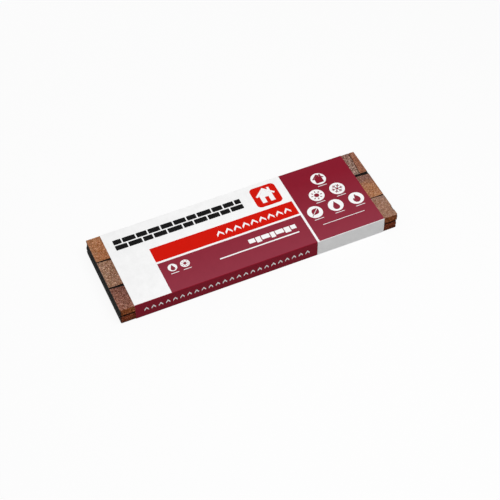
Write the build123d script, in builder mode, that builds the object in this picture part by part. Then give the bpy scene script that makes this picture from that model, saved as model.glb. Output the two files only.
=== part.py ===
"""A bundle of laminated asphalt shingles in a printed paper wrapper.

Fourteen shingles lie flat on each other, every other one turned end for end. Each is one bonded piece:
a full-size base ply with three courses of thin tabs laminated on top. The courses leave two shadow grooves
along the length, and narrow leaning slots part the tabs of a course. A glued paper sleeve goes round the
stack and leaves a short stretch bare at both ends.

The origin is the middle of the footprint, on the floor. X runs along the shingles, Y across them from the
front long side to the back one, Z up. Sizes are in millimetres.
"""

import os
from itertools import accumulate

from build123d import *

# Shingle
shingle_length = 1000.0
shingle_width = 328.0
base_ply = 2.65
tab_ply = 2.0
corner_radius = 3.0

# Courses of tabs: the front one and the middle one, and the back one takes the rest of the width
front_course_depth = 103.0
middle_course_depth = 119.5

# The tabs of each course, in their order along the sheet that the shingles are cut from, over and over:
# each one's length, and how wide the groove behind it is at its left end and at its right end
front_tabs = (
    (66.0, 4.5, 12.0),
    (182.0, 3.5, 5.0),
    (128.0, 3.5, 7.0),
    (236.0, 3.5, 6.0),
    (154.0, 4.0, 8.0),
    (170.0, 3.5, 5.0),
    (104.0, 1.5, 4.5),
)
middle_tabs = (
    (64.0, 3.5, 8.0),
    (214.0, 3.5, 6.0),
    (150.0, 3.5, 5.0),
    (188.0, 4.0, 8.0),
    (122.0, 3.5, 6.0),
    (200.0, 3.0, 4.0),
    (96.0, 8.5, 12.0),
)
back_tabs = (
    (226.0, 0.0, 0.0),
    (136.0, 0.0, 0.0),
    (258.0, 0.0, 0.0),
    (160.0, 0.0, 0.0),
    (196.0, 0.0, 0.0),
    (112.0, 0.0, 0.0),
)
shortest_tab = 20.0

# Each shingle is cut that much further along the sheet than the one on top of it
cut_step = 137.0

# The slots between the tabs of a course, and how far they lean over the course's depth
slot_width = 1.6
slot_lean = 9.0

# A nick in the right end of the top shingle
nick_depth = 4.0
nick_length = 20.0
nick_from_front = 33.0

# Stack
shingle_count = 14
end_stagger = 0.8
side_stagger = 0.8
narrow_shingle = 8
narrow_trim = 4.0
# The shingles above the narrow one lie that far to the right, and the others as far to the left
shift_from_middle = 1.2

# Paper wrapper
paper = 0.25
wrapper_length = 900.0
side_ease = 1.2
crease_radius = 0.8
lap_width = 40.0
lap_from_front = 90.0

shingle_thickness = base_ply + tab_ply
stack_bottom = 2 * paper
stack_top = stack_bottom + shingle_count * shingle_thickness


def course_tabs(course, start):
    """Each tab of a shingle that is cut from start on: its ends along the shingle, and its groove's widths."""
    lengths = [length for length, *_ in course]
    grooves = [widths for _, *widths in course]
    cuts = [end - start % sum(lengths) for end in accumulate(lengths * 3)]
    first = next(i for i, cut in enumerate(cuts) if cut >= shortest_tab)
    left = 0.0
    for i, cut in enumerate(cuts[first:], first):
        last = cut > shingle_length - shortest_tab
        yield left, shingle_length if last else cut, *grooves[i % len(course)]
        if last:
            return
        left = cut


def tab_corners(left, right, groove_left, groove_right, front, rear):
    """Corners of a tab, seen from above, whose ends lean and whose groove widens to the right."""

    def end_x(distance, y, side):
        if distance in (0.0, shingle_length):
            return distance - shingle_length / 2
        lean = slot_lean * (y - (front + rear) / 2) / (rear - front)
        return distance - shingle_length / 2 + lean + side * slot_width / 2

    rear_left = rear - groove_left
    rear_right = rear - groove_right
    return (
        (end_x(left, front, 1), front),
        (end_x(right, front, -1), front),
        (end_x(right, rear_right, -1), rear_right),
        (end_x(left, rear_left, 1), rear_left),
    )


def make_shingle(number):
    """Shingle number, counted from the bottom of the stack, in its place."""
    from_top = shingle_count - number
    narrow = number == narrow_shingle
    width = shingle_width - (narrow_trim if narrow else 0.0)
    shift = shift_from_middle if number > narrow_shingle else -shift_from_middle
    along = shift + end_stagger * ((5 * number) % 7 - 3) / 3
    across = narrow_trim / 2 if narrow else side_stagger * ((3 * number) % 5 - 2) / 2
    seat = Plane(
        origin=(along, across, stack_bottom + (number - 1) * shingle_thickness),
        x_dir=(-1 if from_top % 2 else 1, 0, 0),
        z_dir=(0, 0, 1),
    )
    front_line = -width / 2
    middle_line = front_line + front_course_depth
    back_line = middle_line + middle_course_depth
    courses = (
        (front_tabs, front_line, middle_line),
        (middle_tabs, middle_line, back_line),
        (back_tabs, back_line, width / 2),
    )
    with BuildPart() as shingle:
        with BuildSketch(seat):
            RectangleRounded(shingle_length, width, corner_radius)
        extrude(amount=base_ply)
        with BuildSketch(seat.offset(base_ply)):
            for course, front, rear in courses:
                for tab in course_tabs(course, from_top * cut_step):
                    with BuildLine():
                        Polyline(*tab_corners(*tab, front, rear), close=True)
                    make_face()
            RectangleRounded(shingle_length, width, corner_radius, mode=Mode.INTERSECT)
        extrude(amount=tab_ply)
        if number == shingle_count:
            with BuildSketch(seat):
                with Locations((shingle_length / 2, front_line + nick_from_front)):
                    Rectangle(2 * nick_depth, nick_length)
            extrude(amount=shingle_thickness, mode=Mode.SUBTRACT)
    return shingle.part


def make_wrapper():
    """The glued sleeve: its lap lies under the stack, where the sheet's two ends overlap."""
    inner = shingle_width / 2 + side_ease
    outer = inner + paper
    outer_lap_end = -shingle_width / 2 + lap_from_front
    inner_lap_end = outer_lap_end + lap_width
    with BuildPart() as sleeve:
        with BuildSketch(Plane.YZ.offset(-wrapper_length / 2)) as section:
            with BuildLine():
                Polyline(
                    (outer_lap_end, 0),
                    (outer, 0),
                    (outer, stack_top + paper),
                    (-outer, stack_top + paper),
                    (-outer, paper),
                    (outer_lap_end, paper),
                    close=True,
                )
            make_face()
            corners = [v for v in section.vertices() if abs(v.X) > inner]
            fillet(corners, crease_radius + paper)
            with BuildSketch(mode=Mode.SUBTRACT) as hollow:
                with BuildLine():
                    Polyline(
                        (inner_lap_end, stack_bottom),
                        (-inner, stack_bottom),
                        (-inner, stack_top),
                        (inner, stack_top),
                        (inner, paper),
                        (inner_lap_end, paper),
                        close=True,
                    )
                make_face()
                corners = [v for v in hollow.vertices() if abs(v.X) > shingle_width / 2]
                fillet(corners, crease_radius)
        extrude(amount=wrapper_length)
    return sleeve.part


pieces = {"wrapper": make_wrapper()}
for number in range(1, shingle_count + 1):
    pieces[f"shingle_{number:02d}"] = make_shingle(number)

os.makedirs("parts", exist_ok=True)
for name, piece in pieces.items():
    piece.label = name
    export_step(piece, f"parts/{name}.step")
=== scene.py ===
"""Looks of the shingle bundle: granule-coated shingles, a printed paper wrapper and a studio.

Lengths are in millimetres, and meshes are turned to metres when they are made. The camera, the lamps and the
scales of the materials are in metres.
"""

import math
from dataclasses import dataclass

import bpy
import numpy as np
from mathutils import Matrix, Vector, geometry, kdtree


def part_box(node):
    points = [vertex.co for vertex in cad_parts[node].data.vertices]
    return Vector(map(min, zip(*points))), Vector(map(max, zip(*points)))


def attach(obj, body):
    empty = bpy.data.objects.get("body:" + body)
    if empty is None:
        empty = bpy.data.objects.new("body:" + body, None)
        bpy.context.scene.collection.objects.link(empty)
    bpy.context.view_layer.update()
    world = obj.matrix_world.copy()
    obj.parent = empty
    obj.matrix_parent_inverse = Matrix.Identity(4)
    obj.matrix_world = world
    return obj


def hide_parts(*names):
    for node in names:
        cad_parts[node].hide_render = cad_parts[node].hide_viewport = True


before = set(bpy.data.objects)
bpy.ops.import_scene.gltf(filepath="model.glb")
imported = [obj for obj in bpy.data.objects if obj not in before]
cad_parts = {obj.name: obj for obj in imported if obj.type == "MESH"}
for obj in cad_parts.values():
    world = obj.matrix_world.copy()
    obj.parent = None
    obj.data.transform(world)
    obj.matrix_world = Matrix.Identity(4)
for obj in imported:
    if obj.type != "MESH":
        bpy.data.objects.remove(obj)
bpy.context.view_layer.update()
MM = 0.001
TINY = 1e-6

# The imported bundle, and the thickness, folds and lap of its paper
SHINGLES = sum(name.startswith("shingle_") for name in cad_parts)
STACK_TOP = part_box(f"shingle_{SHINGLES:02d}")[1][2] / MM
HALF_WRAP, WRAP_BACK, WRAP_TOP = np.array(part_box("wrapper")[1]) / MM
PAPER = 0.25
FOLD = 1.05
LAP_END = -74.0
LAP_WIDTH = 40.0

# Camera, fitted to the corners of the bundle in the photograph
IMAGE_PX = 500
SENSOR_MM = 36.0
FOCAL_PX = 1313.8
AZIMUTH, ELEVATION, ROLL = (math.radians(a) for a in (-23.259, 49.147, -1.095))
CAMERA_DISTANCE = 4.4302
AIM = Vector((0.0039, -0.0504, 0.0))

# Studio: place, size and watts of the lamps, then the room and the floor, as light and as they are seen
LAMPS = {
    "overhead_softbox": ((0.15, -1.0, 3.0), (2.6, 2.2), 82),
    "back_fill": ((-0.2, 3.2, 1.0), (3.0, 1.2), 22),
}
ROOM_STRENGTH, SEEN_GREY = 0.30, 0.98
FLOOR_GREY, FLOOR_SHADED_GREY, FLOOR_GLOW = 0.40, 0.08, 0.90
FLOOR_HALF = 30000.0


def linear(*levels):
    """Linear colour of an 8-bit display colour."""
    values = [level / 255 for level in levels]
    return tuple(v / 12.92 if v <= 0.04045 else ((v + 0.055) / 1.055) ** 2.4 for v in values)


def object_of(name, vertices, faces, materials, indices, smooth=False):
    """A mesh object from millimetre vertices, triangles and the material's index for each face."""
    mesh = bpy.data.meshes.new(name)
    mesh.vertices.add(len(vertices))
    mesh.vertices.foreach_set("co", (np.asarray(vertices) * MM).astype(np.float32).ravel())
    mesh.loops.add(3 * len(faces))
    mesh.polygons.add(len(faces))
    mesh.loops.foreach_set("vertex_index", np.asarray(faces, np.int32).ravel())
    mesh.polygons.foreach_set("loop_start", np.arange(0, 3 * len(faces), 3, dtype=np.int32))
    for material in materials:
        mesh.materials.append(material)
    mesh.polygons.foreach_set("material_index", np.asarray(indices, np.int32))
    mesh.polygons.foreach_set("use_smooth", np.full(len(faces), smooth))
    mesh.update(calc_edges=True)
    mesh.validate()
    piece = bpy.data.objects.new(name, mesh)
    bpy.context.collection.objects.link(piece)
    return piece


# Studio


def make_camera():
    back = Vector(
        (
            math.sin(AZIMUTH) * math.cos(ELEVATION),
            -math.cos(AZIMUTH) * math.cos(ELEVATION),
            math.sin(ELEVATION),
        )
    )
    level = Vector((math.cos(AZIMUTH), math.sin(AZIMUTH), 0.0))
    upright = back.cross(level)
    right = math.cos(ROLL) * level + math.sin(ROLL) * upright
    above = math.cos(ROLL) * upright - math.sin(ROLL) * level
    data = bpy.data.cameras.new("camera")
    data.sensor_width = SENSOR_MM
    data.lens = FOCAL_PX * SENSOR_MM / IMAGE_PX
    data.clip_start, data.clip_end = 0.05, 100.0
    camera = bpy.data.objects.new("camera", data)
    bpy.context.collection.objects.link(camera)
    pose = Matrix((right, above, back)).transposed().to_4x4()
    pose.translation = AIM + CAMERA_DISTANCE * back
    camera.matrix_world = pose
    bpy.context.scene.camera = camera
    bpy.context.scene.view_settings.view_transform = "Standard"


def make_lamp(name, place, size, watts):
    """A rectangular lamp that is turned towards the bundle."""
    data = bpy.data.lights.new(name, "AREA")
    data.shape = "RECTANGLE"
    data.size, data.size_y = size
    data.energy = watts
    lamp = bpy.data.objects.new(name, data)
    lamp.location = place
    lamp.rotation_euler = (-Vector(place)).to_track_quat("-Z", "Y").to_euler()
    bpy.context.collection.objects.link(lamp)


def seen_rays(nodes, links):
    """1 for the rays that show the background: the camera's own, and those that mirror or pass it on."""
    path = nodes.new("ShaderNodeLightPath")
    seen = path.outputs["Is Camera Ray"]
    for kind in ("Is Glossy Ray", "Is Transmission Ray"):
        either = nodes.new("ShaderNodeMath")
        either.operation = "MAXIMUM"
        links.new(seen, either.inputs[0])
        links.new(path.outputs[kind], either.inputs[1])
        seen = either.outputs[0]
    return seen


def plain(nodes, kind, grey, strength=None):
    """The output of a diffuse, emission or background node of one grey."""
    node = nodes.new(kind)
    node.inputs["Color"].default_value = (grey, grey, grey, 1)
    if strength is not None:
        node.inputs["Strength"].default_value = strength
    return node.outputs[0]


def show_by_ray(tree, output_kind, lighting, shown):
    """Ends a node tree in one shader that lights the object and another that the camera sees."""
    mix = tree.nodes.new("ShaderNodeMixShader")
    output = tree.nodes.new(output_kind)
    tree.links.new(seen_rays(tree.nodes, tree.links), mix.inputs[0])
    tree.links.new(lighting, mix.inputs[1])
    tree.links.new(shown, mix.inputs[2])
    tree.links.new(mix.outputs[0], output.inputs[0])


def make_world():
    world = bpy.data.worlds.new("studio")
    bpy.context.scene.world = world
    world.use_nodes = True
    nodes = world.node_tree.nodes
    nodes.clear()
    room = plain(nodes, "ShaderNodeBackground", 1, ROOM_STRENGTH)
    seen = plain(nodes, "ShaderNodeBackground", SEEN_GREY, 1.0)
    show_by_ray(world.node_tree, "ShaderNodeOutputWorld", room, seen)


def make_floor():
    """A pale card that lights the object plainly, and looks almost white with the object's shadow on it."""
    material = bpy.data.materials.new("studio_floor")
    material.use_nodes = True
    nodes = material.node_tree.nodes
    nodes.clear()
    both = nodes.new("ShaderNodeAddShader")
    shaded = plain(nodes, "ShaderNodeBsdfDiffuse", FLOOR_SHADED_GREY)
    glow = plain(nodes, "ShaderNodeEmission", 1, FLOOR_GLOW)
    material.node_tree.links.new(shaded, both.inputs[0])
    material.node_tree.links.new(glow, both.inputs[1])
    card = plain(nodes, "ShaderNodeBsdfDiffuse", FLOOR_GREY)
    show_by_ray(material.node_tree, "ShaderNodeOutputMaterial", card, both.outputs[0])
    corners = [(x * FLOOR_HALF, y * FLOOR_HALF, 0) for x, y in ((-1, -1), (1, -1), (1, 1), (-1, 1))]
    floor = object_of("studio_floor", corners, [(0, 1, 2), (0, 2, 3)], [material], [0, 0])


# Materials


class Shader:
    """A Principled material that is put together node by node."""

    def __init__(self, name, roughness, specular):
        self.material = bpy.data.materials.new(name)
        self.material.use_nodes = True
        self.nodes = self.material.node_tree.nodes
        self.links = self.material.node_tree.links
        self.surface = self.nodes["Principled BSDF"]
        self.surface.inputs["Roughness"].default_value = roughness
        self.surface.inputs["Specular IOR Level"].default_value = specular
        self.place = self.nodes.new("ShaderNodeTexCoord").outputs["Object"]

    def put(self, socket, value):
        """Gives a socket a link, a colour or a number."""
        if isinstance(value, bpy.types.NodeSocket):
            self.links.new(value, socket)
        else:
            socket.default_value = (*value, 1.0) if isinstance(value, tuple) else value

    def noise(self, per_metre, detail, rough, offset=0.0):
        node = self.nodes.new("ShaderNodeTexNoise")
        node.noise_dimensions = "4D"
        values = {"W": offset, "Scale": per_metre, "Detail": detail, "Roughness": rough, "Vector": self.place}
        for name, value in values.items():
            self.put(node.inputs[name], value)
        return node.outputs["Fac"]

    def cells(self, per_metre):
        node = self.nodes.new("ShaderNodeTexVoronoi")
        node.inputs["Scale"].default_value = per_metre
        self.links.new(self.place, node.inputs["Vector"])
        return node

    def span(self, value, low, high, to_low=0.0, to_high=1.0):
        """The value, stretched from one range to another."""
        node = self.nodes.new("ShaderNodeMapRange")
        for name, number in (("From Min", low), ("From Max", high), ("To Min", to_low), ("To Max", to_high)):
            node.inputs[name].default_value = number
        self.links.new(value, node.inputs["Value"])
        return node.outputs["Result"]

    def mix(self, factor, first, second, blend="MIX"):
        node = self.nodes.new("ShaderNodeMix")
        node.data_type = "RGBA"
        node.blend_type = blend
        self.put(node.inputs["Factor"], factor)
        self.put(node.inputs["A"], first)
        self.put(node.inputs["B"], second)
        return node.outputs["Result"]

    def grey(self, value):
        node = self.nodes.new("ShaderNodeCombineColor")
        for channel in node.inputs:
            self.links.new(value, channel)
        return node.outputs[0]

    def attribute(self, name):
        node = self.nodes.new("ShaderNodeAttribute")
        node.attribute_name = name
        return node.outputs["Color"]

    def finish(self, colour, height, depth, strength, roughness=None):
        """The material, with its colour, a bump of that depth in metres, and perhaps a varied roughness."""
        self.put(self.surface.inputs["Base Color"], colour)
        if roughness is not None:
            self.links.new(roughness, self.surface.inputs["Roughness"])
        bump = self.nodes.new("ShaderNodeBump")
        bump.inputs["Distance"].default_value = depth
        bump.inputs["Strength"].default_value = strength
        self.links.new(height, bump.inputs["Height"])
        self.links.new(bump.outputs["Normal"], self.surface.inputs["Normal"])
        return self.material


# Where nearly all of a noise lies
NOISE_RANGE = (0.3, 0.7)
# Where a painted sheen starts to lighten the print towards the front, and where it is full, in metres from the
# middle
SHEEN_TURN_Y = (0.10, -0.17)


def granule_material():
    """Crushed, coloured stone: each grain has its own shade round the colour that the mesh holds."""
    s = Shader("granules", roughness=0.9, specular=0.1)
    grain = s.cells(per_metre=900)
    shade = s.mix(0.65, grain.outputs["Color"], s.grey(grain.outputs["Color"]))
    tint = s.mix(0.34, s.attribute("tone"), shade, "OVERLAY")
    blotch = s.span(s.noise(420, detail=2.0, rough=0.6), *NOISE_RANGE, to_low=0.76, to_high=1.27)
    colour = s.mix(1.0, tint, s.grey(blotch), "MULTIPLY")
    return s.finish(colour, grain.outputs["Distance"], depth=0.0005, strength=0.5)


def asphalt_material(name, dark, light, per_metre):
    """Bare asphalt with some mineral dust on it."""
    s = Shader(name, roughness=0.75, specular=0.07)
    dust = s.span(s.noise(per_metre, detail=4.0, rough=0.65), 0.42, 0.72)
    lumps = s.noise(per_metre * 2.2, detail=3.0, rough=0.6, offset=3.0)
    return s.finish(s.mix(dust, dark, light), lumps, depth=0.0006, strength=0.6)


def paper_material(name, colour, roughness, painted_sheen_colour=None):
    """Coated wrapping paper: faint fibre clouds in the colour, a fine tooth and a slightly uneven sheen.

    With a painted sheen colour, the print turns from one to the other between the back and the front of the
    top: a painted reflection that makes it lighter towards the front.
    """
    s = Shader(name, roughness, specular=0.05)
    clouds = s.span(s.noise(38, detail=4.0, rough=0.6), *NOISE_RANGE, to_low=0.965, to_high=1.035)
    if painted_sheen_colour:
        across = s.nodes.new("ShaderNodeSeparateXYZ")
        s.links.new(s.place, across.inputs[0])
        colour = s.mix(s.span(across.outputs["Y"], *SHEEN_TURN_Y), colour, painted_sheen_colour)
    uneven = s.noise(60, detail=2.0, rough=0.5, offset=5.0)
    sheen = s.span(uneven, *NOISE_RANGE, to_low=roughness - 0.05, to_high=roughness + 0.05)
    printed = s.mix(1.0, colour, s.grey(clouds), "MULTIPLY")
    tooth = s.noise(2400, detail=2.0, rough=0.6, offset=2.0)
    return s.finish(printed, tooth, depth=0.00004, strength=0.5, roughness=sheen)


# Shingles: where their faces are fine, and what those are made of

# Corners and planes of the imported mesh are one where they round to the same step
WELD_STEPS, NORMAL_STEPS, OFFSET_STEPS = 1e5, 200, 50
# A side is level where its normal's Z is over the first, and lies across where its X is over the second
LEVEL, ACROSS = 0.9, 0.72
# How far apart the points are, and how far each strays and keeps off a rim, as shares of that
GRAIN_MM, LEDGE_GRAIN_MM = 1.15, 2.2
GRID_JITTER, RIM_GAP = 0.32, 0.55
# How far in from its rim a covered side shows
LEDGE_MM = 5.0
# Where fine faces begin, and where they stop, as a share of the way to the end
BARE_FROM, PAST_END = HALF_WRAP - 4.0, 1.01
# Where relief begins, and over how far it grows to its full height
RELIEF_FROM, RELIEF_FADE = HALF_WRAP + 0.6, 0.8
# The narrow shingle, whose sides lie in the dark line halfway up; they and the ledge under them get the
# darkest asphalt as painted shade
NARROW = 8
# How near a face lies to the long sides or the ends to count as one of them
SIDE_MM, SMEARED_MM = 3.2, 3.0
GROOVE_DEPTH = 0.5
# Kinds of face. The third is the darkest asphalt: in grooves, partly real and partly painted shade, and on the
# dark line painted shade
GRANULES, CUT, GROOVE_AND_PAINTED_SHADE, SAND = range(4)

# How far a corner is lifted, and how far one on an edge is chipped off
LIFT, CHIP = (-0.24, 0.30), (0.08, 0.42)
UNDERSIDE_LIFT, CUT_LIFT = 0.25, 0.55
# Seeds, to which a shingle's number is added, and a divisor that brings nearly all of a field within 1
SHINGLE_SEED, SWAY_SEED, CLOUD_SEED, WARM_SEED = 100, 70, 40, 110
FIELD_PEAK = 1.32


def inside(points, starts, ends):
    """Which 2-D points lie inside the outline that the segments make, holes left out."""
    result = np.zeros(len(points), bool)
    for (ax, ay), (bx, by) in zip(starts, ends):
        if ay == by:
            continue
        crosses = (ay > points[:, 1]) != (by > points[:, 1])
        reach = ax + (points[:, 1] - ay) * (bx - ax) / (by - ay)
        result ^= crosses & (points[:, 0] < reach)
    return result


def triangulate(points, edges, slack):
    """The points, the triangles between them that keep the edges, and where each point came from."""
    found, _, faces, sources, *_ = geometry.delaunay_2d_cdt([Vector(p) for p in points], edges, [], 0, slack)
    return np.array([tuple(p) for p in found]), np.array(faces), sources


def rim_of(triangles):
    """Edges that only one triangle has, in its direction."""
    edges = dict.fromkeys((i, j) for tri in triangles for i, j in zip(tri, np.roll(tri, -1)))
    return [(i, j) for i, j in edges if (j, i) not in edges]


def wave_field(seed, length_mm, count=7):
    """A smooth random function of place, about from -1 to 1, whose hills are about that far apart."""
    draw = np.random.default_rng(seed)
    waves = draw.normal(0.0, 2 * math.pi / length_mm, (count, 3))
    phases = draw.uniform(0.0, 2 * math.pi, count)
    return lambda points: np.sin(points @ waves.T + phases).sum(1) / math.sqrt(count) / FIELD_PEAK


def welded_node(node):
    """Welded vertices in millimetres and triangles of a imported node."""
    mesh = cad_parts[node].data
    places = np.empty(3 * len(mesh.vertices))
    mesh.vertices.foreach_get("co", places)
    mesh.calc_loop_triangles()
    triangles = np.empty(3 * len(mesh.loop_triangles), np.int32)
    mesh.loop_triangles.foreach_get("vertices", triangles)
    places = places.reshape(-1, 3)
    keys = np.round(places * WELD_STEPS).astype(np.int64)
    _, first, back = np.unique(keys, axis=0, return_index=True, return_inverse=True)
    return places[first] / MM, back.ravel()[triangles].reshape(-1, 3)


def flat_sides(points, triangles):
    """The plane's normal and the triangles of each flat side."""
    a, b, c = (points[triangles[:, i]] for i in range(3))
    normals = np.cross(b - a, c - a)
    normals /= np.maximum(np.linalg.norm(normals, axis=1), TINY**2)[:, None]
    offsets = (normals * a).sum(1)
    keys = np.round(np.column_stack([normals * NORMAL_STEPS, offsets * OFFSET_STEPS])).astype(np.int64)
    _, group = np.unique(keys, axis=0, return_inverse=True)
    group = group.ravel()
    means = (normals[group == g].mean(0) for g in range(group.max() + 1))
    return [(mean / np.linalg.norm(mean), triangles[group == g]) for g, mean in enumerate(means)]


class EdgeCutter:
    """Adds vertices along packed edges where the shingle is bare, the same ones for both sides of an edge."""

    def __init__(self, vertices):
        self.vertices = vertices
        self.between = {}

    def chain(self, i, j):
        """Vertices from i to j."""
        key = (min(i, j), max(i, j))
        if key not in self.between:
            p, q = (np.array(self.vertices[k]) for k in key)
            steps = max(1, round(np.linalg.norm(q - p) / GRAIN_MM))
            self.between[key] = []
            for step in range(1, steps):
                place = p + (q - p) * step / steps
                if abs(place[0]) > BARE_FROM:
                    self.between[key].append(len(self.vertices))
                    self.vertices.append(tuple(place))
        found = self.between[key]
        return [i, *(found if i < j else found[::-1]), j]


def side_axes(normal):
    """Two axes along a flat side. With its normal they are right-handed."""
    if abs(normal[2]) > LEVEL:
        u, v = np.array((1.0, 0, 0)), np.array((0, 1.0, 0))
    else:
        u, v = np.array((-normal[1], normal[0], 0.0)), np.array((0, 0, 1.0))
        u /= np.linalg.norm(u)
    return (-u if np.dot(np.cross(u, v), normal) < 0 else u), v


def bare_spans(way, first, last, far):
    """Stretches that get fine faces: a whole side across the shingle, else its bare ends, the left one first.

    The way is how much of a side's first axis runs along the shingle, and a bare end stops at far.
    """
    if abs(way) <= 0.5:
        return [(first, last)]
    spans = [(max(-far, first), min(-BARE_FROM, last)), (max(BARE_FROM, first), min(far, last))]
    return spans if way > 0 else spans[::-1]


def staggered_grid(first, last, low, high, spacing):
    """Points in rows, with every other row half a step on."""
    x, y = np.meshgrid(np.arange(first, last, spacing), np.arange(low + spacing * 0.5, high, spacing))
    x = x + (np.arange(len(y))[:, None] % 2) * spacing / 2
    return np.column_stack([x.ravel(), y.ravel()])


def away_from(points, others, gap):
    """The points that lie further than the gap from all the others."""
    tree = kdtree.KDTree(len(others))
    for k, (x, y) in enumerate(others):
        tree.insert((x, y, 0), k)
    tree.balance()
    near = np.array([tree.find((x, y, 0))[2] for x, y in points])
    return points[near > gap]


def grain_points(number, normal, u, rim, box, rng):
    """Points inside a side's rim, about one for each granule that shows, in the side's own axes."""
    (starts, ends), (low, high) = rim, box
    (first, lowest), (last, highest) = starts.min(0), starts.max(0)
    level, upward = abs(normal[2]) > LEVEL, normal[2] > 0
    outermost = number == (SHINGLES if upward else 1)
    spacing = GRAIN_MM if not level or (upward and outermost) else LEDGE_GRAIN_MM
    spans = bare_spans(u[0], first, last, high[0] * PAST_END)
    points = np.vstack([staggered_grid(*span, lowest, highest, spacing) for span in spans])
    points = points + rng.uniform(-GRID_JITTER, GRID_JITTER, points.shape) * spacing
    keep = inside(points, starts, ends)
    if level and not outermost:
        # Only the rim shows between two shingles, so the rest of such a side stays coarse
        to_end = np.minimum(points[:, 0] * u[0] - low[0], high[0] - points[:, 0] * u[0])
        to_side = np.minimum(points[:, 1] - low[1], high[1] - points[:, 1])
        keep &= np.minimum(to_end, to_side) < LEDGE_MM
    return away_from(points[keep], starts, spacing * RIM_GAP)


@dataclass
class Skin:
    """A shingle's surface: its corners and triangles, its flat sides, and its lowest and highest corners."""

    places: np.ndarray
    faces: np.ndarray
    side_of_face: np.ndarray
    normals: np.ndarray
    sides_at: dict
    low: np.ndarray
    high: np.ndarray

    def to_side(self, points):
        """How far points lie from the nearer long side."""
        return np.minimum(points[:, 1] - self.low[1], self.high[1] - points[:, 1])

    def to_end(self, points):
        """How far points lie from the nearer end."""
        return np.minimum(points[:, 0] - self.low[0], self.high[0] - points[:, 0])


def grow_shingle(number, rng):
    """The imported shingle's surface with fine faces at its bare ends, where a corner is about one granule."""
    points, triangles = welded_node(f"shingle_{number:02d}")
    box = points.min(0), points.max(0)
    vertices = [tuple(p) for p in points]
    cutter = EdgeCutter(vertices)
    sides = flat_sides(points, triangles)
    faces, side_of_face, sides_at = [], [], {}
    for side, (normal, members) in enumerate(sides):
        chains = [cutter.chain(i, j) for i, j in rim_of(members)]
        segments = [(i, j) for chain in chains for i, j in zip(chain, chain[1:])]
        used = sorted({i for segment in segments for i in segment})
        order = {i: k for k, i in enumerate(used)}
        links = [(order[i], order[j]) for i, j in segments]
        u, v = side_axes(normal)
        offset = float(np.dot(points[members[0][0]], normal))
        flat = np.array([[np.dot(vertices[i], u), np.dot(vertices[i], v)] for i in used])
        rim = flat[[i for i, _ in links]], flat[[j for _, j in links]]
        inner = grain_points(number, normal, u, rim, box, rng)

        ids = used + list(range(len(vertices), len(vertices) + len(inner)))
        vertices += [tuple(x * u + y * v + offset * normal) for x, y in inner]
        where, found, sources = triangulate(np.vstack([flat, inner]), links, TINY)
        for tri in found[inside(where[found].mean(1), *rim)]:
            real = [ids[sources[k][0]] for k in tri]
            faces.append(real)
            side_of_face.append(side)
            for k in real:
                sides_at.setdefault(k, set()).add(side)
    normals = np.array([normal for normal, _ in sides])
    return Skin(np.array(vertices), np.array(faces), np.array(side_of_face), normals, sides_at, *box)


def face_kinds(skin, number):
    """What each face is made of. The darkest asphalt is also painted where shade falls: in grooves and on the
    dark line.
    """
    normals = skin.normals[skin.side_of_face]
    centres = skin.places[skin.faces].mean(1)
    up, down = normals[:, 2] > LEVEL, normals[:, 2] < -LEVEL
    upright = ~up & ~down
    cut_end = upright & (np.abs(normals[:, 0]) > ACROSS)
    wall = upright & ~cut_end
    on_outline = skin.to_side(centres) < SIDE_MM
    kind = np.full(len(centres), GRANULES)
    kind[down] = SAND
    kind[up & (centres[:, 2] < skin.high[2] - GROOVE_DEPTH)] = GROOVE_AND_PAINTED_SHADE
    kind[cut_end] = CUT
    kind[wall & ~on_outline] = GROOVE_AND_PAINTED_SHADE
    # Painted shade: the narrow shingle's recessed sides get the darkest asphalt
    if number == NARROW:
        kind[wall & on_outline] = GROOVE_AND_PAINTED_SHADE
    # Painted shade: the ledge under the narrow shingle, in the overhang's shadow, gets the darkest asphalt
    if number == NARROW - 1:
        kind[up & (skin.to_side(centres) < LEDGE_MM)] = GROOVE_AND_PAINTED_SHADE
    if number < SHINGLES:
        kind[~upright & (skin.to_end(centres) < SMEARED_MM)] = CUT
    return kind


# Shingles: the colours of their granules

TONES = {
    "amber": linear(162, 112, 77),
    "sienna": linear(154, 99, 61),
    "sand": linear(151, 115, 92),
    "umber": linear(135, 95, 71),
    "rosewood": linear(138, 91, 74),
    "plum": linear(104, 63, 51),
    "tan": linear(149, 112, 92),
    "mauve": linear(126, 89, 77),
    "clay": linear(160, 110, 76),
    "ash": linear(137, 108, 94),
    "cinnamon": linear(141, 93, 71),
}
# Granules on the long edges: above and below the dark line, their spread, the painted shade on the lowest
# ones, the right end
EDGE_GOLD, EDGE_RED = linear(145, 75, 20), linear(129, 57, 14)
EDGE_SPREAD = 0.07
LOWEST_EDGES, LOWEST_PAINTED_SHADE = 2, 0.72
RIGHT_EDGE = (0.80, 0.80, 0.60)

# How strongly granules differ from each other, on the tops of covered shingles and on the long edges
TOP_GRIT, EDGE_GRIT = 1.2, 1.8
# The share of granules that are dark, and that are pale, and what is done to their shades
DARK_GRAINS, DARK_GAIN = 0.20, 0.30
PALE_GRAINS, PALE_GAIN, PALE_LIFT = 0.15, 1.25, 0.5
# Granules lie in clumps of one shade, and each has its own shade and hue, partly in colour and partly in grey
CLUMP_MM, CLUMP_JITTER, CLUMP_SPREAD = 2.6, 0.22, 0.28
GRAIN_SPREAD, HUE_SPREAD = 0.20, 0.03
GRAIN_COLOUR, GRAIN_GREY = 0.55, 0.45
# The darkest that a granule gets, and the painted shade on granules beside grooves and recesses and on edges
# where shingles meet, as shares of the tone
DARKEST, GROOVE_PAINTED_SHADE, RIM_PAINTED_SHADE = 0.12, 0.35, 0.5
# Soft changes over a tab: how far apart and how strong they are, in shade, in warmth and in a turn of tones
CLOUD_MM, CLOUD = 26.0, 0.08
WARM_MM, WARM = 12.0, np.array((0.03, -0.01, -0.05))
SWAY_MM, SWAY = 34.0, 0.30


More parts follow.
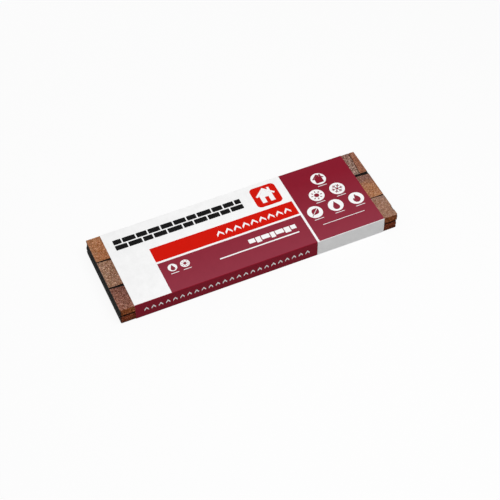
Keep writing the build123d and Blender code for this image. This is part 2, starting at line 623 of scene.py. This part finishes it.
class Tab:
    """A bare tab of the top shingle, whose colour turns from one tone to another.

    The turn begins at the start, goes that way in degrees, and is over after the reach. The grit is how
    strongly its granules differ from each other.
    """

    def __init__(self, across, course, first, second, start, way, reach=50.0, grit=1.0):
        self.low, self.high = np.column_stack([across, course])
        self.first, self.second = np.array(TONES[first]), np.array(TONES[second])
        self.start, self.reach, self.grit = np.array(start), reach, grit
        self.way = np.array((math.cos(math.radians(way)), math.sin(math.radians(way))))

    def holds(self, spot):
        return bool((self.low < spot).all() and (spot < self.high).all())

    def colour(self, places, sway):
        turn = (places[:, :2] - self.start) @ self.way / self.reach + SWAY * sway
        turn = np.clip(turn, 0, 1)[:, None]
        return self.first + (self.second - self.first) * turn


# The courses of the top shingle from front to back, and its two bare ends
FRONT_COURSE, MIDDLE_COURSE, BACK_COURSE = (-170.0, -61.0), (-61.0, 58.5), (58.5, 170.0)
LEFT_END, RIGHT_END = (-510, -300), (300, 510)
TOP_TABS = (
    Tab(LEFT_END, FRONT_COURSE, "rosewood", "plum", (-492, -140), 48, 80, 1.5),
    Tab(LEFT_END, MIDDLE_COURSE, "sand", "umber", (-492, 0), -8, 50, 1.35),
    Tab(LEFT_END, BACK_COURSE, "amber", "sienna", (-496, 100), -20),
    Tab(RIGHT_END, FRONT_COURSE, "ash", "tan", (490, -68), -115, 26, 0.7),
    Tab(RIGHT_END, MIDDLE_COURSE, "mauve", "clay", (480, 30), -90, 32),
    Tab((300, 488), BACK_COURSE, "mauve", "ash", (480, 164), -90, 55, 2.0),
    Tab((488, 510), BACK_COURSE, "cinnamon", "cinnamon", (480, 100), 0),
)


def speckle(places, rng):
    """How much lighter or darker each granule is than the tone around it."""
    jitter = rng.uniform(-CLUMP_JITTER, CLUMP_JITTER, places.shape)
    cells = np.floor(places / CLUMP_MM + jitter).astype(np.int64)
    _, index = np.unique(cells, axis=0, return_inverse=True)
    shade = rng.lognormal(0.0, CLUMP_SPREAD, index.max() + 1)[index.ravel()]
    shade *= rng.lognormal(0.0, GRAIN_SPREAD, len(places))
    draw = rng.random(len(places))
    dark, pale = draw < DARK_GRAINS, draw > 1 - PALE_GRAINS
    shade[dark] *= DARK_GAIN
    shade[pale] = PALE_GAIN * shade[pale] + PALE_LIFT
    return shade - shade.mean()


def islands(faces, chosen):
    """Numbers the connected patches of the chosen faces."""
    parent = {}

    def root(k):
        while parent[k] != k:
            parent[k] = parent[parent[k]]
            k = parent[k]
        return k

    for index in chosen:
        for k in faces[index]:
            parent.setdefault(k, k)
        a, b, c = (root(k) for k in faces[index])
        parent[b] = a
        parent[root(c)] = a
    names = {}
    return np.array([names.setdefault(root(faces[index][0]), len(names)) for index in chosen])


def tab_tones(skin, kind, number, rng):
    """The grit of each corner and its colour before the speckle: one tone or one turn of tones for a tab."""
    places, faces = skin.places, skin.faces
    tone = np.zeros((len(places), 3))
    grit = np.full((len(places), 1), TOP_GRIT)
    on_top = np.zeros(len(places), bool)
    sway = wave_field(SWAY_SEED + number, SWAY_MM)(places)
    palette = list(TONES.values())
    tops = np.flatnonzero((skin.normals[skin.side_of_face, 2] > LEVEL) & (kind == GRANULES))
    patches = islands(faces, tops)
    for patch in range(patches.max() + 1):
        corners = np.unique(faces[tops[patches == patch]])
        colour = np.array(palette[int(rng.integers(len(palette)))])
        spot = (max(places[corners, 0], key=abs), places[corners, 1].mean())
        for tab in TOP_TABS if number == SHINGLES else ():
            if tab.holds(spot):
                colour = tab.colour(places[corners], sway[corners])
                grit[corners] = tab.grit
        tone[corners] = colour
        on_top[corners] = True
    if number < SHINGLES:
        on_top &= skin.to_side(places) > LEDGE_MM
    edge = np.array(EDGE_GOLD if number > NARROW else EDGE_RED) * rng.normal(1.0, EDGE_SPREAD)
    # Painted shade: the lowest shingles' edges are darkened where the contact shadow falls
    tone[~on_top] = edge * (LOWEST_PAINTED_SHADE if number <= LOWEST_EDGES else 1.0)
    tone[~on_top & (places[:, 0] > 0)] *= RIGHT_EDGE
    grit[~on_top] = EDGE_GRIT
    return tone, grit


def granule_tones(skin, kind, number, rng):
    """The colour of each corner, which stands for one granule."""
    places = skin.places
    tone, grit = tab_tones(skin, kind, number, rng)
    tone *= 1 + CLOUD * wave_field(CLOUD_SEED + number, CLOUD_MM)(places)[:, None]
    tone *= 1 + wave_field(WARM_SEED + number, WARM_MM, count=20)(places)[:, None] * WARM
    grey = tone.mean(1, keepdims=True)
    speckled = tone + speckle(places, rng)[:, None] * grit * (GRAIN_COLOUR * tone + GRAIN_GREY * grey)
    tone = np.maximum(speckled, DARKEST * tone) * rng.normal(1.0, HUE_SPREAD, tone.shape)
    # Painted shade: granules beside grooves and recesses, and on the shingles' edges below the top, are
    # darkened
    tone[np.unique(skin.faces[kind == GROOVE_AND_PAINTED_SHADE])] *= GROOVE_PAINTED_SHADE
    edges = [k for k, sides in skin.sides_at.items() if len(sides) > 1]
    tone[[k for k in edges if places[k, 2] < STACK_TOP - GROOVE_DEPTH]] *= RIM_PAINTED_SHADE
    return tone


def granule_relief(skin, rng):
    """How far each corner moves: granules stand up and sink in, and edges are a little broken down."""
    push = np.zeros((len(skin.places), 3))
    lift = rng.uniform(*LIFT, len(push))
    chip = rng.uniform(*CHIP, len(push))
    for k, sides in skin.sides_at.items():
        direction = skin.normals[list(sides)].sum(0)
        length = np.linalg.norm(direction)
        if length < TINY:
            continue
        direction = direction / length
        if len(sides) > 1:
            push[k] = -direction * chip[k]
        elif direction[2] < -LEVEL:
            push[k] = direction * lift[k] * UNDERSIDE_LIFT
        elif abs(direction[0]) > ACROSS:
            push[k] = direction * lift[k] * CUT_LIFT
        else:
            push[k] = direction * lift[k]
    bare = np.clip((np.abs(skin.places[:, 0]) - RELIEF_FROM) / RELIEF_FADE, 0, 1)
    return push * bare[:, None]


def dress_shingle(number, materials):
    node = f"shingle_{number:02d}"
    rng = np.random.default_rng(SHINGLE_SEED + number)
    skin = grow_shingle(number, rng)
    kind = face_kinds(skin, number)
    tone = granule_tones(skin, kind, number, rng)
    places = skin.places + granule_relief(skin, rng)
    piece = object_of(f"{node}_surface", places, skin.faces, materials, kind)
    layer = piece.data.color_attributes.new("tone", "FLOAT_COLOR", "POINT")
    layer.data.foreach_set("color", np.column_stack([tone, np.ones(len(tone))]).astype(np.float32).ravel())
    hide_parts(node)
    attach(piece, "root")


def make_shingles():
    """All the shingles, with their materials in the order of the kinds of face."""
    materials = [
        granule_material(),
        asphalt_material("cut_asphalt", linear(37, 38, 38), linear(70, 69, 66), 240),
        # Darker than the asphalt on the cut ends: bare asphalt in the grooves with painted shade on it
        asphalt_material("groove_asphalt_and_painted_shade", linear(8, 7, 7), linear(26, 21, 18), 400),
        asphalt_material("sanded_back", linear(52, 51, 50), linear(92, 88, 82), 500),
    ]
    for number in range(1, SHINGLES + 1):
        dress_shingle(number, materials)


# Paper wrapper: its outer face, unrolled

FLAT_Y = WRAP_BACK - FOLD
FOLD_STEPS = 6
ROW_MM, COLUMN_MM = 8.0, 7.5
BESIDE_FOLD = 0.6


class Sleeve:
    """The sheet's outer face, unrolled: x along the bundle and s round it, from the lap under the bundle."""

    def __init__(self):
        self.parts = []
        self.length = 0.0
        low, high = FOLD, WRAP_TOP - FOLD
        self.line((LAP_END, 0.0), (FLAT_Y, 0.0))
        self.arc((FLAT_Y, low), -90)
        self.back = self.line((WRAP_BACK, low), (WRAP_BACK, high))
        self.arc((FLAT_Y, high), 0)
        self.top = self.line((FLAT_Y, WRAP_TOP), (-FLAT_Y, WRAP_TOP))
        self.arc((-FLAT_Y, high), 90)
        self.front = self.line((-WRAP_BACK, high), (-WRAP_BACK, low + PAPER))
        self.arc((-FLAT_Y, low + PAPER), 180)
        self.line((-FLAT_Y, PAPER), (LAP_END + LAP_WIDTH, PAPER))

    def line(self, start, end):
        """Adds a flat stretch, and gives the s where it starts."""
        start, end = np.array(start), np.array(end)
        reach = np.linalg.norm(end - start)
        self.parts.append(("line", self.length, reach, start, (end - start) / reach))
        self.length += reach
        return self.length - reach

    def arc(self, centre, degrees):
        """Adds a fold, a quarter turn from that angle on."""
        reach = FOLD * math.pi / 2
        self.parts.append(("arc", self.length, reach, np.array(centre), math.radians(degrees)))
        self.length += reach

    def rows(self):
        """Values of s where the mesh has a row of points, and those in a fold, which are straight edges."""
        rows, folds = [], []
        for kind, start, reach, *_ in self.parts:
            if kind == "arc":
                steps = list(np.linspace(start, start + reach, FOLD_STEPS + 1))
                folds += steps
                rows += steps[:-1]
            else:
                count = max(2, round((reach - 2 * BESIDE_FOLD) / ROW_MM))
                inner = np.linspace(start + BESIDE_FOLD, start + reach - BESIDE_FOLD, count + 1)
                rows += [start, *inner]
        rows.append(self.length)
        return rows, np.array(folds)

    def place(self, s):
        """Points and outward normals in the Y-Z plane for an array of s."""
        points, normals = np.zeros((len(s), 2)), np.zeros((len(s), 2))
        for kind, start, reach, origin, way in self.parts:
            on = (s >= start - TINY) & (s <= start + reach + TINY)
            along = s[on] - start
            if kind == "line":
                points[on] = origin + along[:, None] * way
                normals[on] = (way[1], -way[0])
            else:
                angle = way + along / FOLD
                outward = np.column_stack([np.cos(angle), np.sin(angle)])
                points[on] = origin + FOLD * outward
                normals[on] = outward
        return points, normals


sleeve = Sleeve()


def on_top(points):
    """Sheet coordinates of points (x, y) on the top."""
    return [(x, sleeve.top + FLAT_Y - y) for x, y in points]


def on_front(points):
    """Sheet coordinates of points (x, z) on the front side."""
    return [(x, sleeve.front + WRAP_TOP - FOLD - z) for x, z in points]


def on_back(points):
    """Sheet coordinates of points (x, z) on the back side."""
    return [(x, sleeve.back + z - FOLD) for x, z in points]


# Paper wrapper: shapes that are printed on it


def moved(points, x, y, scale=1.0, turn=0.0):
    c, n = math.cos(math.radians(turn)) * scale, math.sin(math.radians(turn)) * scale
    return [(x + c * px - n * py, y + n * px + c * py) for px, py in points]


def block(left, low, right, high):
    return [(left, low), (right, low), (right, high), (left, high)]


def disc(radius, steps, start=0.0, sweep=360.0):
    """Corners of a disc, or of the stretch of its rim that is swept from the start."""
    angles = [math.radians(start + sweep * k / steps) for k in range(steps + (sweep < 360.0))]
    return [(radius * math.cos(a), radius * math.sin(a)) for a in angles]


def rounded(width, height, radius):
    corners = ((1, 1, 0), (-1, 1, 90), (-1, -1, 180), (1, -1, 270))
    return [
        (sx * (width / 2 - radius) + x, sy * (height / 2 - radius) + y)
        for sx, sy, start in corners
        for x, y in disc(radius, 6, start, 90.0)
    ]


def gable(width, height, stroke):
    """A chevron like the two slopes of a roof."""
    w, h = width / 2, height / 2
    drop = stroke * math.hypot(1, height / w)
    return [(-w, -h), (0, h), (w, -h), (w, -h - drop), (0, h - drop), (-w, -h - drop)]


def sun():
    yield disc(9.5, 28)
    for turn in range(0, 360, 45):
        yield moved(block(13.5, -1.9, 21.0, 1.9), 0, 0, 1, turn)


def drop():
    radius, tip = 12.5, 28.0
    tangent = math.degrees(math.acos(radius / tip))
    bowl = disc(radius, 30, 90 + tangent, 360 - 2 * tangent)
    yield moved([(0, tip), *bowl], 0, -8)


def flake():
    for turn in (0, 60, 120):
        yield moved(block(-21, -1.6, 21, 1.6), 0, 0, 1, turn)
    for turn in range(0, 360, 60):
        for lean in (-48, 48):
            twig = moved(block(0, -1.4, 8.5, 1.4), 11.5, 0, 1, lean)
            yield moved(twig, 0, 0, 1, turn)


def flame():
    right = [(1, 21), (4, 14), (10, 7), (14, -1), (13.5, -10), (8, -17), (0, -20)]
    left = [(-8, -17), (-13, -10), (-13.5, -2), (-9.5, 5), (-7.5, 0), (-4.5, 4), (-3, 12)]
    yield right + left


def leaf():
    """Two halves with a rib between them, and a stalk."""
    bow = [(-17 + 3 * k, 13 * math.sin(math.pi * k / 12) ** 0.9) for k in range(13)]
    for side in (1, -1):
        yield moved([(x, side * (y + 1.0)) for x, y in bow], 1, 1, 1, 45)
    yield moved(block(-25, -1.3, -17, 1.3), 1, 1, 1, 45)


def house():
    yield block(-15, -20, 15, 4)
    yield [(-23, 3), (0, 24), (23, 3), (19.5, -0.5), (0, 17.0), (-19.5, -0.5)]
    yield [(-15, 3), (0, 17.0), (15, 3)]
    yield block(10, 11, 15, 22)


# Paper wrapper: where the print goes, in x and y on the top, and in x and z on the long sides


def spaced(first, step, count):
    return [first + step * k for k in range(count)]


INKS = ("white", "crimson", "deep_crimson", "red", "black")
# Colour fields: the left ends of the fields, the right ends of block and bar, and where the panel starts
FIELD_X, BLOCK_X, BAR_X, PANEL_X = -321.0, 200.0, 200.5, 208.0
BAR_LOW, BAR_HIGH, BLOCK_Y = -23.9, 39.7, -31.8
# The print's turn from the top's crimson, which carries the painted sheen, to the front's plain crimson lies a
# little behind the fold
PRINT_FOLD = -164.0
# How far fields run on past the sheet's ends and past the top's folds
BLEED, PAST_FOLD = 1.0, 4.0
# The foot of the stripes on the long sides, and how far below the top they start in front and behind
SIDE_LOW, FRONT_MARGIN, BACK_MARGIN = -3.0, 0.4, 1.4

# Two black courses of tabs: the lower edge of each, and where its tabs are cut
COURSE_HIGH, COURSE_GAP, COURSE_ROUND = 21.0, 4.5, 2.5
COURSES = (
    (78.0, (-423, -376, -324, -286, -236, -180, -140, -90, -44, -6, 44)),
    (103.5, (-423, -390, -340, -298, -252, -206, -158, -120, -66, -24, 18, 44)),
)
HOUSE, HOUSE_SCALE, HOUSE_FIELD, HOUSE_ROUND = (132.0, 101.0), 1.55, 94, 16
# Gables in the bar, and along both long sides
GABLES_X, GABLES_Y = spaced(-80, 31, 9), 11.5
SIDE_GABLES_X, SIDE_GABLES_Z = spaced(-412, 25, 24), 37.0
# White slates in the block: their left ends and the right end of the last one, then their feet and tops
SLATES, SLATE_GAP = (-8, 18, 39, 71, 90, 122, 146, 168), 3.5
SLATE_FEET, SLATE_TOP = (-78, -84), -60
# Rules under the slates and under the panel's badges
SLATE_RULE = (-124, -100, SLATES[-1] - SLATE_GAP, -95)
PANEL_RULE = (251, -104, 407, -101.8)
# Two small badges in the block, and three rows of large ones on the panel, in a triangle like a gable
SMALL_BADGES_X, SMALL_BADGES_Y = spaced(-280, 44, 2), -66
SMALL_BADGE = {"radius": 16, "steps": 36, "scale": 0.62, "rule": (-14, -25.5, 14, -23)}
BADGE_X, BADGE_Y, BADGE_STEP, BADGE_ROW, BADGE_ROWS = 329, 96, 78, 68, 3
BADGE = {"radius": 27, "steps": 56, "scale": 0.95, "rule": (-17, -34.8, 17, -32.6)}


class Print:
    """What is printed on the sheet, in order: the ink and the outline, and later ones lie on earlier ones."""

    def __init__(self):
        self.marks = []
        self.colour_fields()
        self.band()
        self.bar_and_block()
        self.panel()
        self.long_sides()

    def put(self, ink, face, *shapes):
        self.marks.extend((ink, face(shape)) for shape in shapes)

    def badge(self, shape, x, y, radius, steps, scale, rule):
        """A crimson shape on a white disc that has a rule below."""
        self.put("white", on_top, moved(disc(radius, steps), x, y), moved(block(*rule), x, y))
        self.put("crimson", on_top, *(moved(part, x, y, scale) for part in shape()))

    def colour_fields(self):
        """The right panel, the lower block, the stripe on both long sides, and the bar."""
        end_x, past_y = HALF_WRAP + BLEED, WRAP_BACK + PAST_FOLD
        self.put("crimson", on_top, block(PANEL_X, PRINT_FOLD, end_x, past_y))
        self.put("crimson", on_top, block(FIELD_X, -past_y, BLOCK_X, BLOCK_Y))
        self.put("deep_crimson", on_top, block(-end_x, -past_y, BLOCK_X, PRINT_FOLD + BLEED))
        self.put("deep_crimson", on_front, block(-end_x, SIDE_LOW, BLOCK_X, WRAP_TOP - FRONT_MARGIN))
        self.put("deep_crimson", on_back, block(-end_x, SIDE_LOW, end_x, WRAP_TOP - BACK_MARGIN))
        self.put("red", on_top, block(FIELD_X, BAR_LOW, BAR_X, BAR_HIGH))

    def band(self):
        """On the white: a house in a red field, and two courses of black tabs."""
        door = block(-4.5, -20, 4.5, -4)
        self.put("red", on_top, moved(rounded(HOUSE_FIELD, HOUSE_FIELD, HOUSE_ROUND), *HOUSE))
        self.put("white", on_top, *(moved(shape, *HOUSE, HOUSE_SCALE) for shape in house()))
        self.put("red", on_top, moved(door, *HOUSE, HOUSE_SCALE))
        for low, cuts in COURSES:
            for left, right in zip(cuts, cuts[1:]):
                tab = rounded(right - left - COURSE_GAP, COURSE_HIGH, COURSE_ROUND)
                self.put("black", on_top, moved(tab, (left + right) / 2, low + COURSE_HIGH / 2))

    def bar_and_block(self):
        """White gables in the bar. In the block, stepped slates over a rule, and two badges."""
        for x in GABLES_X:
            self.put("white", on_top, moved(gable(width=24, height=15, stroke=6), x, GABLES_Y))
        for k, (left, right) in enumerate(zip(SLATES, SLATES[1:])):
            self.put("white", on_top, block(left, SLATE_FEET[k % 2], right - SLATE_GAP, SLATE_TOP))
        self.put("white", on_top, block(*SLATE_RULE))
        for shape, x in zip((drop, sun), SMALL_BADGES_X):
            self.badge(shape, x, SMALL_BADGES_Y, **SMALL_BADGE)

    def panel(self):
        """Six weather badges over a rule."""
        shapes = iter((house, sun, flake, leaf, drop, flame))
        for row in range(BADGE_ROWS):
            for x in spaced(BADGE_X - BADGE_STEP * row / 2, BADGE_STEP, row + 1):
                self.badge(next(shapes), x, BADGE_Y - BADGE_ROW * row, **BADGE)
        self.put("white", on_top, block(*PANEL_RULE))

    def long_sides(self):
        """A row of small gables along each long side."""
        small = gable(width=15, height=10, stroke=4.4)
        for x in SIDE_GABLES_X:
            for face in (on_front, on_back):
                self.put("white", face, moved(small, x, SIDE_GABLES_Z))


# Paper wrapper: the mesh

# Points of the net so near are one, and a fold so near an edge's end, as a share of it, adds no point
NET_SLACK, END_SHARE = 1e-3, 1e-4
# Edges that turn by more than this are shown sharp
SHARP_DEGREES = 40
# Below this height the sheet lies flat, and nearer than this to a fold it is pulled taut
UNDER_Z, CALM_MM = 2.0, 18.0
# The seed, the length and the height of its long waves and of its ripples
WAVE_SEED, WAVE_MM, WAVE_HIGH = 5, 130.0, 0.30
RIPPLE_SEED, RIPPLE_MM, RIPPLE_HIGH = 6, 46.0, 0.07
# Its free edges: the seed and the length of their waves, their least and added height, how far in they reach
LOOSE_SEED, LOOSE_MM, LOOSE_LEAST, LOOSE_MORE, LOOSE_REACH = 8, 70.0, 0.35, 0.55, 9.0


def sheet_net(marks, rows, folds):
    """Points and edges of the flat sheet's mesh: a grid, its rim and folds, and the print's outlines."""
    columns = np.linspace(-HALF_WRAP, HALF_WRAP, round(2 * HALF_WRAP / COLUMN_MM) + 1)
    points = [(x, s) for s in rows for x in columns]
    wide = len(columns)
    edges = []
    straight = {round(s, 5) for s in folds}
    for j, s in enumerate(rows):
        if round(s, 5) in straight or j in (0, len(rows) - 1):
            edges += [(j * wide + i, j * wide + i + 1) for i in range(wide - 1)]
        if j:
            edges += [((j - 1) * wide + i, j * wide + i) for i in (0, wide - 1)]
    for _, outline in marks:
        outline = [(min(max(x, -HALF_WRAP), HALF_WRAP), min(max(s, 0.0), sleeve.length)) for x, s in outline]
        first = len(points)
        for (ax, a), (bx, b) in zip(outline, outline[1:] + outline[:1]):
            steps = max(1, math.ceil(math.hypot(bx - ax, b - a) / ROW_MM))
            cuts = {k / steps for k in range(steps)}
            if abs(b - a) > TINY:
                cuts |= {float(t) for t in (folds - a) / (b - a) if END_SHARE < t < 1 - END_SHARE}
            points += [(ax + (bx - ax) * t, a + (b - a) * t) for t in sorted(cuts)]
        count = len(points) - first
        edges += [(first + k, first + (k + 1) % count) for k in range(count)]
    return points, edges


def inks_at(centres, marks):
    """The index of the ink at each point of the flat sheet."""
    ink = np.zeros(len(centres), int)
    for name, outline in marks:
        o = np.array(outline)
        near = np.flatnonzero(((centres >= o.min(0)) & (centres <= o.max(0))).all(1))
        ink[near[inside(centres[near], o, np.roll(o, -1, 0))]] = INKS.index(name)
    return ink


def fold_sheet(flat, folds):
    """Where the sheet's outer face lies, and its normals. It is wavy, and its free edges stand off."""
    yz, across = sleeve.place(np.clip(flat[:, 1], 0, sleeve.length))
    normals = np.column_stack([np.zeros(len(flat)), across])
    outer = np.column_stack([flat[:, 0], yz])

    def hills(seed, length_mm):
        return 0.5 + 0.5 * wave_field(seed, length_mm)(outer)

    per_fold = FOLD_STEPS + 1
    beside = np.concatenate([folds[::per_fold], folds[FOLD_STEPS::per_fold]])
    to_fold = np.abs(flat[:, 1:2] - beside).min(1)
    to_end = HALF_WRAP - np.abs(flat[:, 0])
    calm = np.clip(to_fold / CALM_MM, 0, 1)
    loose = np.exp(-to_end / LOOSE_REACH) * (LOOSE_LEAST + LOOSE_MORE * hills(LOOSE_SEED, LOOSE_MM))
    waves = WAVE_HIGH * hills(WAVE_SEED, WAVE_MM) + RIPPLE_HIGH * hills(RIPPLE_SEED, RIPPLE_MM)
    height = calm * (waves + loose)
    height[outer[:, 2] < UNDER_Z] = 0.0
    return outer + normals * height[:, None], normals


def thicken(outer, normals, faces):
    """The corners and triangles of the sheet's outer face, then those of its inner face and its rim."""
    size = len(outer)
    rim = np.array([f for i, j in rim_of(faces) for f in ((j, i, i + size), (j, i + size, j + size))])
    a, b, c = (outer[faces[:, i]] for i in range(3))
    if (np.cross(b - a, c - a) * normals[faces[:, 0]]).sum() < 0:
        faces, rim = faces[:, ::-1], rim[:, ::-1]
    places = np.vstack([outer, outer - normals * PAPER])
    return places, np.vstack([faces, faces[:, ::-1] + size, rim])


def make_wrapper():
    """The printed sheet, with its materials in the order of the inks."""
    marks = Print().marks
    rows, folds = sleeve.rows()
    flat, faces, _ = triangulate(*sheet_net(marks, rows, folds), NET_SLACK)
    outer, normals = fold_sheet(flat, folds)
    places, triangles = thicken(outer, normals, faces)
    inks = np.zeros(len(triangles), int)
    inks[: len(faces)] = inks_at(flat[faces].mean(1), marks)
    materials = [
        paper_material("paper_white", linear(243, 243, 243), 0.55),
        # Crimson ink whose second colour is a painted sheen, lighter towards the front of the top; the sides'
        # crimson has none
        paper_material("ink_crimson_painted_sheen", linear(131, 24, 42), 0.5, linear(139, 51, 66)),
        paper_material("ink_crimson_sides", linear(133, 22, 41), 0.5),
        paper_material("ink_red", linear(204, 18, 3), 0.5),
        paper_material("ink_black", linear(10, 9, 10), 0.5),
    ]
    piece = object_of("printed_wrapper", places, triangles, materials, inks, smooth=True)
    piece.data.set_sharp_from_angle(angle=math.radians(SHARP_DEGREES))
    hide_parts("wrapper")
    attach(piece, "root")


make_camera()
for lamp_name, lamp in LAMPS.items():
    make_lamp(lamp_name, *lamp)
make_world()
make_floor()
make_shingles()
make_wrapper()
